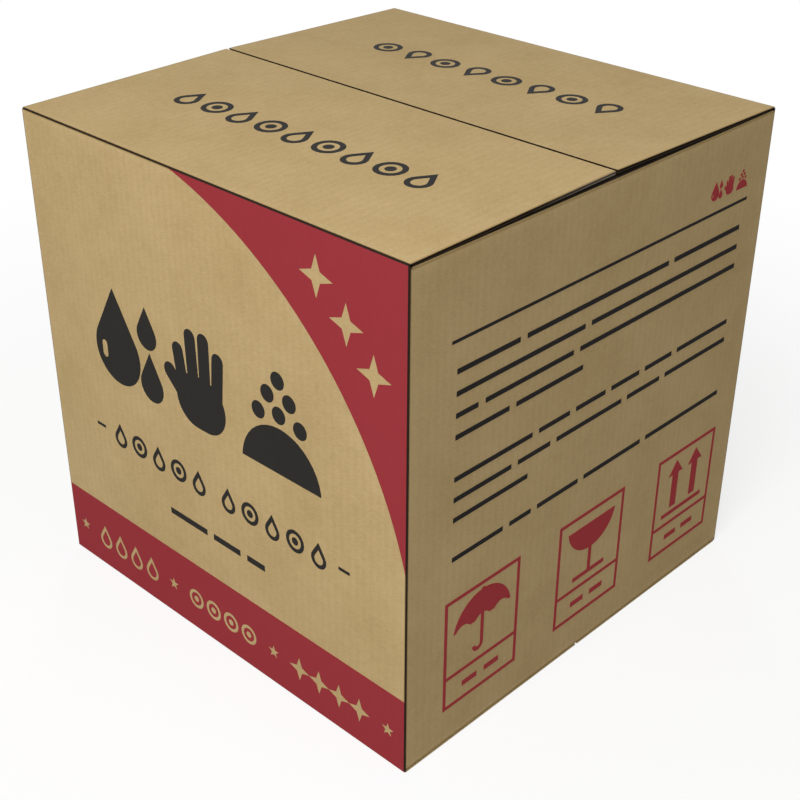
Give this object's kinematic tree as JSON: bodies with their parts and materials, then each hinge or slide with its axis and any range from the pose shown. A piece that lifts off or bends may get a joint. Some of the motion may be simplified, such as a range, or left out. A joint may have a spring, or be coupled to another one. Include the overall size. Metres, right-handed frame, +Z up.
{
  "type": "hand cleaning powder pack",
  "caption": "Kraft corrugated carton with red and black print and loose hinged top flaps, holding a sealed bag of hand cleaning powder.",
  "frame": {"origin": "on the floor under the middle of the carton", "axes": "+Z up through the closed top, -Y out of the front panel with the large marks, +X out of the panel with the handling marks"},
  "size_m": [0.1801, 0.1801, 0.1815],
  "materials": {
    "kraft_board": "matt kraft liner",
    "liner_film": "cloudy polyethylene film",
    "red_ink": "matt flexographic ink on kraft",
    "black_ink": "matt flexographic ink on kraft"
  },
  "bodies": {
    "carton": {"carton": "kraft_board", "powder_bag": "liner_film", "front_red_print": "red_ink", "front_black_print": "black_ink", "side_red_print": "red_ink", "side_black_print": "black_ink"},
    "front_flap": {"top_flap_front": "kraft_board", "front_flap_print": "black_ink"},
    "rear_flap": {"top_flap_rear": "kraft_board", "rear_flap_print": "black_ink"}
  },
  "joints": [
    {"name": "front_flap_fold", "type": "hinge", "parent": "carton", "child": "front_flap", "pos_m": [0, -0.09, 0.18], "axis": [1, 0, 0], "range_deg": [0, 245]},
    {"name": "rear_flap_fold", "type": "hinge", "parent": "carton", "child": "rear_flap", "pos_m": [0, 0.09, 0.18], "axis": [-1, 0, 0], "range_deg": [0, 245]}
  ]
}
